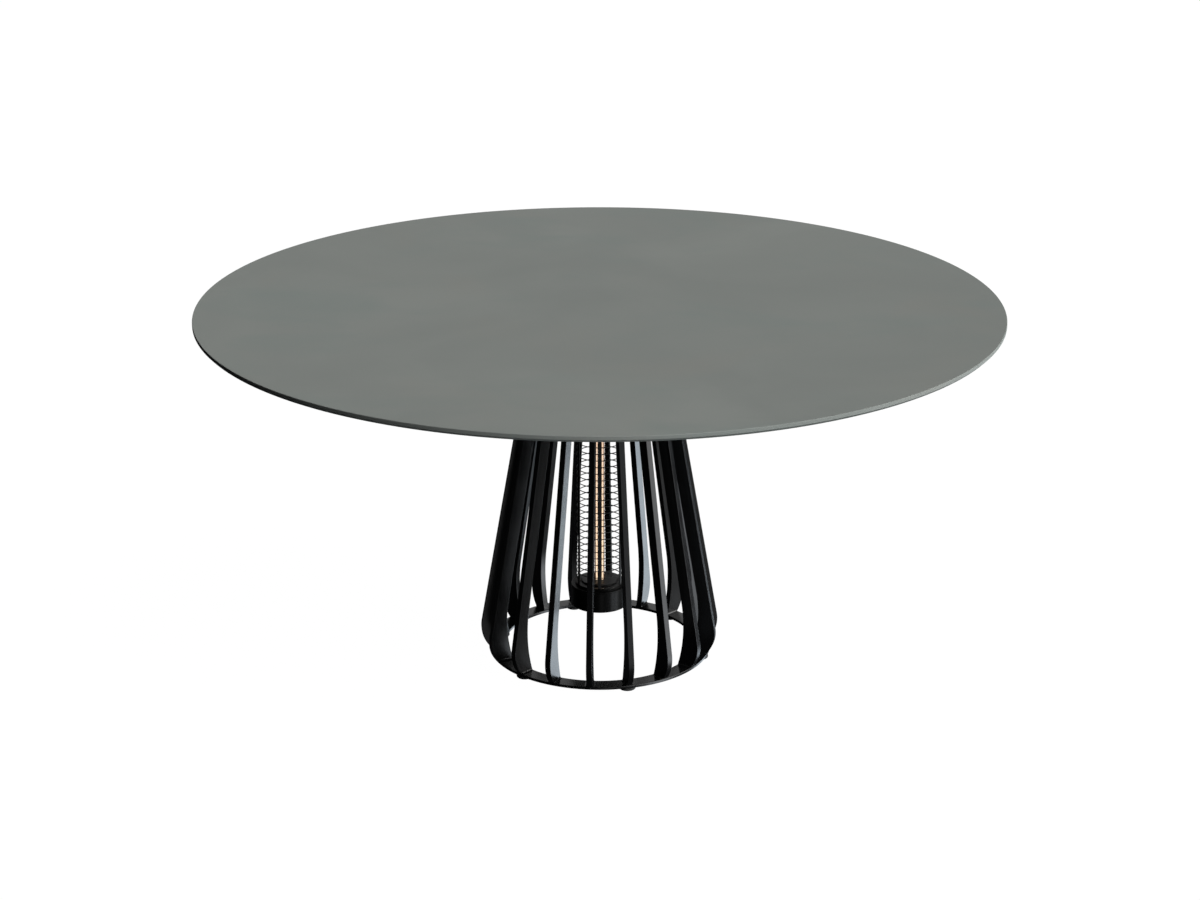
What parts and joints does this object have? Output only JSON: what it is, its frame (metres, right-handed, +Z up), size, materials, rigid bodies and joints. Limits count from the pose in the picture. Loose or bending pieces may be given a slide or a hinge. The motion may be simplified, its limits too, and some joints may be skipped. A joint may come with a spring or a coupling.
{
  "type": "dining table",
  "caption": "Round outdoor dining table on a flared pedestal of upright fins, with a guarded radiant heater hung inside the pedestal.",
  "frame": {"origin": "on the floor, on the axis of the pedestal", "axes": "+Z up, -Y towards the front of the picture, +X to its right"},
  "size_m": [1.6, 1.6, 0.74],
  "materials": {
    "stone_top": "matt grey, cloudy concrete look",
    "black_frame": "satin black powder coat",
    "glide_pad": "matt black",
    "heater_enamel": "satin black heat-resistant enamel",
    "zinc_screw": "zinc plated",
    "ceramic_insulator": "unglazed",
    "dark_plastic": "moulded",
    "quartz": "clear quartz",
    "heating_element": "glowing orange when on"
  },
  "bodies": {
    "table": {"table_top": "stone_top", "fixing_plate": "black_frame", "head_ring": "black_frame", "fin_01": "black_frame", "fin_02": "black_frame", "fin_03": "black_frame", "fin_04": "black_frame", "fin_05": "black_frame", "fin_06": "black_frame", "fin_07": "black_frame", "fin_08": "black_frame", "fin_09": "black_frame", "fin_10": "black_frame", "fin_11": "black_frame", "fin_12": "black_frame", "fin_13": "black_frame", "fin_14": "black_frame", "fin_15": "black_frame", "fin_16": "black_frame", "fin_17": "black_frame", "fin_18": "black_frame", "base_ring": "black_frame", "head_bolt_1": "zinc_screw", "head_bolt_2": "zinc_screw", "head_bolt_3": "zinc_screw", "head_bolt_4": "zinc_screw", "head_bolt_5": "zinc_screw", "head_bolt_6": "zinc_screw", "heater_flange": "heater_enamel", "heater_bolt_1": "zinc_screw", "heater_bolt_2": "zinc_screw", "heater_bolt_3": "zinc_screw", "heater_bolt_4": "zinc_screw", "heater_top_housing": "heater_enamel", "terminal_block": "ceramic_insulator", "thermal_cutout": "dark_plastic", "cable_gland": "dark_plastic", "upper_lamp_holder": "ceramic_insulator", "lower_lamp_holder": "ceramic_insulator", "quartz_tube_left": "quartz", "quartz_tube_right": "quartz", "heating_element_left": "heating_element", "heating_element_right": "heating_element", "guard_wire": "heater_enamel", "guard_upright_1": "heater_enamel", "guard_upright_2": "heater_enamel", "guard_upright_3": "heater_enamel", "guard_upright_4": "heater_enamel", "guard_upright_5": "heater_enamel", "guard_upright_6": "heater_enamel", "heater_base_cup": "heater_enamel", "heater_base_deck": "heater_enamel"},
    "glide_1_body": {"glide_1": "glide_pad"},
    "glide_2_body": {"glide_2": "glide_pad"},
    "glide_3_body": {"glide_3": "glide_pad"},
    "glide_4_body": {"glide_4": "glide_pad"},
    "glide_5_body": {"glide_5": "glide_pad"},
    "glide_6_body": {"glide_6": "glide_pad"}
  },
  "joints": [
    {"name": "glide_1_screw", "type": "slide", "parent": "table", "child": "glide_1_body", "axis": [0, 0, -1], "range_m": [0, 0.008]},
    {"name": "glide_2_screw", "type": "slide", "parent": "table", "child": "glide_2_body", "axis": [0, 0, -1], "range_m": [0, 0.008]},
    {"name": "glide_3_screw", "type": "slide", "parent": "table", "child": "glide_3_body", "axis": [0, 0, -1], "range_m": [0, 0.008]},
    {"name": "glide_4_screw", "type": "slide", "parent": "table", "child": "glide_4_body", "axis": [0, 0, -1], "range_m": [0, 0.008]},
    {"name": "glide_5_screw", "type": "slide", "parent": "table", "child": "glide_5_body", "axis": [0, 0, -1], "range_m": [0, 0.008]},
    {"name": "glide_6_screw", "type": "slide", "parent": "table", "child": "glide_6_body", "axis": [0, 0, -1], "range_m": [0, 0.008]}
  ]
}
